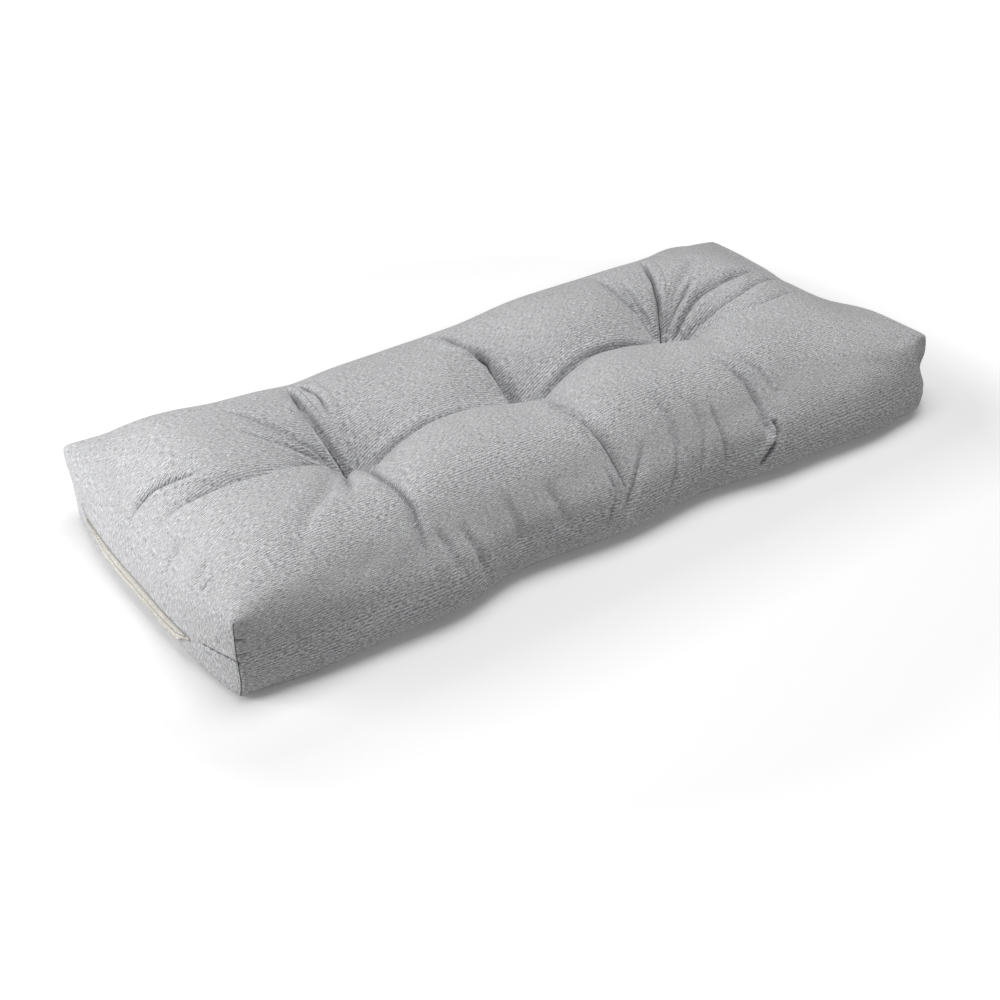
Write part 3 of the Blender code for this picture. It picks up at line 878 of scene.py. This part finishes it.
# painted shade: its near-black colour, the width of the seams' painted shade, and how strongly seams and
# fold edges are darkened
PAINTED_SHADE_BLACK = (0.03, 0.03, 0.035, 1.0)
SEAM_SHADE_FULL = 0.0005
SEAM_SHADE_FADE = 0.0018
SEAM_PAINTED_SHADE = 0.75
FOLD_PAINTED_SHADE = 0.92

cover_cloth, tree, shader, colour = cloth_material("cover_cloth", *COVER_YARNS)
# painted shade along the upright corner seams
seam = remap(tree, attribute(tree, "seam_gap"), SEAM_SHADE_FULL, SEAM_SHADE_FADE, 1.0, 0.0)
folds = tree.nodes.new("ShaderNodeGroup")
folds.node_tree = fold_painted_shade_and_step
tree.links.new(attribute(tree, "fold_gap"), folds.inputs["Gap"])
tree.links.new(attribute(tree, "fold_shade"), folds.inputs["Shade"])
# painted shade: the darker of the seam's and the fold edge's mask mixes the weave towards near black
shade = math_node(tree, "MAXIMUM", math_node(tree, "MULTIPLY", seam, SEAM_PAINTED_SHADE),
                  math_node(tree, "MULTIPLY", folds.outputs["Mask"], FOLD_PAINTED_SHADE))
tree.links.new(mixed(tree, shade, colour, PAINTED_SHADE_BLACK), shader.inputs["Base Color"])
fold_bump = tree.nodes.new("ShaderNodeBump")
fold_bump.inputs["Distance"].default_value = 1.0
tree.links.new(folds.outputs["Height"], fold_bump.inputs["Height"])
tree.links.new(fold_bump.outputs[0], tree.nodes["Bump"].inputs["Normal"])

cushion_mesh.materials.clear()
cushion_mesh.materials.append(cover_cloth)
cushion_mesh.shade_smooth()
print("cover cloth", len(tree.nodes), "nodes")

# %% [markdown]
# ## The closing strip
# A cream woven band runs along the lower edge of the left end, where the cover closes. It is a grid
# laid over the cloth and made thick with solidify. It narrows to a tip at the back, and its lower edge
# flares and waves a little, because only its upper part is sewn down tightly.

# %% The band
STRIP_BACK = 0.183
STRIP_FRONT = -0.136
STRIP_TOP = (0.052, 0.045)
STRIP_WIDTH = 0.022
STRIP_THICK = 0.0010
STRIP_GAP = 0.0008
STRIP_CELLS = (84, 8)
TOP_SETTLES = 0.40
TIP_WIDTH = 0.12
BACK_TAPER = 0.35
FRONT_TAPER = 0.15
SCALLOPS = 9.0
SCALLOP_DEPTH = 0.12
SCALLOP_SHIFT = 0.7
FLARE = 0.0030
FLARE_LEAST = 0.8
FLARE_RIPPLES = 4.0
LEFT_OF_COVER = -0.8

points = read_vectors(cushion_mesh.vertices, "co")
cover_tree = surface_tree(points, [tuple(face.vertices) for face in cushion_mesh.polygons])


def strip_place(along, across, out):
    """A place on the band: along goes from the back tip to the front, across from the top edge down."""
    top = STRIP_TOP[1] + (STRIP_TOP[0] - STRIP_TOP[1]) * float(smooth_step(1.0 - along / TOP_SETTLES))
    taper = float(smooth_step(along / BACK_TAPER) * smooth_step((1.0 - along) / FRONT_TAPER))
    width = STRIP_WIDTH * (TIP_WIDTH + (1.0 - TIP_WIDTH) * taper)
    wave = 1.0 + SCALLOP_DEPTH * math.sin(SCALLOPS * math.tau * along + SCALLOP_SHIFT) * across
    y = STRIP_BACK + (STRIP_FRONT - STRIP_BACK) * along
    z = top - across * width * wave
    hit = cover_tree.ray_cast(Vector((LEFT_OF_COVER, y, z)), Vector((1.0, 0.0, 0.0)))[0]
    ripple = math.sin(SCALLOPS * FLARE_RIPPLES * along)
    flare = FLARE * across * across * (FLARE_LEAST + (1.0 - FLARE_LEAST) * ripple)
    return Vector((hit.x - STRIP_GAP - out - flare, y, z))


def finished(name, shape):
    """The shape as an object at the origin, its faces looking outwards."""
    bmesh.ops.recalc_face_normals(shape, faces=shape.faces)
    mesh = bpy.data.meshes.new(name)
    shape.to_mesh(mesh)
    shape.free()
    mesh.shade_smooth()
    piece = bpy.data.objects.new(name, mesh)
    bpy.context.scene.collection.objects.link(piece)
    return piece


shape = bmesh.new()
bmesh.ops.create_grid(shape, x_segments=STRIP_CELLS[0], y_segments=STRIP_CELLS[1], size=0.5)
cut_map = shape.loops.layers.uv.new("cut_map")
for face in shape.faces:
    for loop in face.loops:
        loop[cut_map].uv = (loop.vert.co.x * (STRIP_BACK - STRIP_FRONT), loop.vert.co.y * STRIP_WIDTH)
for vert in shape.verts:
    vert.co = strip_place(vert.co.x + 0.5, 0.5 - vert.co.y, 0.0)
bmesh.ops.solidify(shape, geom=shape.faces[:], thickness=STRIP_THICK)
strip = finished("strip_band", shape)
print("band", len(strip.data.polygons), "faces")

# %% [markdown]
# ## Stitches
# Two rows of small stitches hold the band. Each is a stretched icosphere with only twenty triangles,
# because there are more than a hundred of them and each is under four millimetres long.

# %% The stitches
STITCH_STEP = 0.0052
STITCH = (0.0005, 0.0017, 0.0006)
STITCH_ROWS = (0.10, 0.52)

shape = bmesh.new()
count = int((STRIP_BACK - STRIP_FRONT) / STITCH_STEP)
for across in STITCH_ROWS:
    for i in range(2, count - 1):
        place = strip_place(i / count, across, STRIP_THICK)
        matrix = Matrix.LocRotScale(place, None, Vector(STITCH))
        bmesh.ops.create_icosphere(shape, subdivisions=1, radius=1.0, matrix=matrix)
cut_map = shape.loops.layers.uv.new("cut_map")
for face in shape.faces:
    for loop in face.loops:
        loop[cut_map].uv = (loop.vert.co.y, loop.vert.co.z)
stitches = finished("strip_stitches", shape)
print("stitches", (count - 3) * len(STITCH_ROWS))

# %% [markdown]
# ## Cream tape, darker thread
# The band and its stitches use the same recipe as the cover. Only the yarn colours change: undyed
# cream for the tape, and a darker thread that shows up on it.

# %% The strip's cloth and thread
STRIP_YARNS = ((0.86, 0.84, 0.78, 1.0), (0.40, 0.38, 0.34, 1.0))
THREAD_YARNS = ((0.42, 0.41, 0.38, 1.0), (0.12, 0.12, 0.11, 1.0))

for piece, name, yarns in ((strip, "strip_cloth", STRIP_YARNS), (stitches, "strip_thread", THREAD_YARNS)):
    cloth, tree, shader, colour = cloth_material(name, *yarns)
    tree.links.new(colour, shader.inputs["Base Color"])
    piece.data.materials.append(cloth)
    print(name, len(tree.nodes), "nodes")

# %% [markdown]
# ## The floor
# The cushion lies on a plain white floor. A sheet that is only lit goes grey away from the cushion, so
# the floor also glows a little. The glow is weak beside the cushion, where the soft shadow has to
# show, and grows with the distance. Only the camera sees it, so it adds no light to the cloth.

# %% The floor
FLOOR_HALF = 10.0
FLOOR_WHITE = 0.80
FAR_GLOW = (0.165, 0.75)
FAR_GLOW_REACH = (0.72, 1.5)
NEAR_GLOW = (0.0, 0.17)
NEAR_GLOW_REACH = (0.09, 0.24)
NEAR_GLOW_START = (0.61, 0.245, 0.0)

floor_mesh = bpy.data.meshes.new("floor")
plane = bmesh.new()
bmesh.ops.create_grid(plane, x_segments=1, y_segments=1, size=FLOOR_HALF)
plane.to_mesh(floor_mesh)
plane.free()
floor = bpy.data.objects.new("floor", floor_mesh)
bpy.context.scene.collection.objects.link(floor)

floor_material = bpy.data.materials.new("floor_white")
floor_material.use_nodes = True
tree = floor_material.node_tree
shader = tree.nodes["Principled BSDF"]
shader.inputs["Base Color"].default_value = (FLOOR_WHITE, FLOOR_WHITE, FLOOR_WHITE, 1.0)
shader.inputs["Roughness"].default_value = 1.0
shader.inputs["Specular IOR Level"].default_value = 0.0
shader.inputs["Emission Color"].default_value = (1.0, 1.0, 1.0, 1.0)
place = tree.nodes.new("ShaderNodeTexCoord").outputs["Object"]
far = vector_node(tree, "LENGTH", place)["Value"]
mirrored = vector_node(tree, "ABSOLUTE", place)["Vector"]
outside = vector_node(tree, "SUBTRACT", mirrored, NEAR_GLOW_START)["Vector"]
beside = vector_node(tree, "MAXIMUM", outside, (0.0, 0.0, 0.0))["Vector"]
near = vector_node(tree, "LENGTH", beside)["Value"]
glow = math_node(tree, "ADD", remap(tree, far, *FAR_GLOW_REACH, *FAR_GLOW),
                 remap(tree, near, *NEAR_GLOW_REACH, *NEAR_GLOW))
seen = tree.nodes.new("ShaderNodeLightPath").outputs["Is Camera Ray"]
tree.links.new(math_node(tree, "MULTIPLY", glow, seen), shader.inputs["Emission Strength"])
floor_mesh.materials.append(floor_material)
print("floor", 2 * FLOOR_HALF, "m wide")

# %% [markdown]
# ## Studio light
# A large disk overhead does most of the work. A low key from behind the left end lights that end and
# leaves the front in shade, which brings out the folds. A weak fill from the right lifts the far end.

# %% The lights
LIGHT_COLUMNS = ("name", "place", "size", "power")
LIGHTS = (
    ("key", (-1.562, 0.418, 0.525), 0.9, 12.4),
    ("overhead", (0.0, 0.0, 3.0), 2.5, 73.0),
    ("right_fill", (2.12, 0.0, 2.12), 1.2, 8.0),
)
ROOM_LIGHT = 0.01

for row in LIGHTS:
    lamp = dict(zip(LIGHT_COLUMNS, row))
    data = bpy.data.lights.new(lamp["name"], "AREA")
    data.shape = "DISK"
    data.size = lamp["size"]
    data.energy = lamp["power"]
    light = bpy.data.objects.new(lamp["name"], data)
    light.location = lamp["place"]
    light.rotation_euler = (-light.location).to_track_quat("-Z", "Y").to_euler()
    bpy.context.scene.collection.objects.link(light)
world = bpy.data.worlds.new("studio")
bpy.context.scene.world = world
world.use_nodes = True
backdrop = world.node_tree.nodes["Background"]
backdrop.inputs["Color"].default_value = (1.0, 1.0, 1.0, 1.0)
backdrop.inputs["Strength"].default_value = ROOM_LIGHT
bpy.context.scene.view_settings.view_transform = "Standard"
print("lights", len(LIGHTS))

# %% [markdown]
# ## The camera
# It stands in front of the cushion, to the left and above it. Turn, rise and distance place it round
# the point that it aims at.

# %% The camera
CAMERA_TURN = math.radians(-36.45)
CAMERA_RISE = math.radians(33.8)
CAMERA_DISTANCE = 2.129
CAMERA_AIM = Vector((-0.0977, -0.0619, 0.0))
CAMERA_LENS = 52.74

camera_data = bpy.data.cameras.new("camera")
camera_data.lens = CAMERA_LENS
camera = bpy.data.objects.new("camera", camera_data)
away = Vector((
    math.sin(CAMERA_TURN) * math.cos(CAMERA_RISE),
    -math.cos(CAMERA_TURN) * math.cos(CAMERA_RISE),
    math.sin(CAMERA_RISE),
))
camera.location = CAMERA_AIM + away * CAMERA_DISTANCE
camera.rotation_euler = (-away).to_track_quat("-Z", "Y").to_euler()
bpy.context.scene.collection.objects.link(camera)
bpy.context.scene.camera = camera
print("camera at", [round(value, 3) for value in camera.location])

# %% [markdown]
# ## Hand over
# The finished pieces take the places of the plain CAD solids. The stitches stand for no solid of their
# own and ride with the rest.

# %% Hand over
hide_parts("cushion")
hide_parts("closing_strip")
for piece in (cushion, strip, stitches):
    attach(piece, "root")
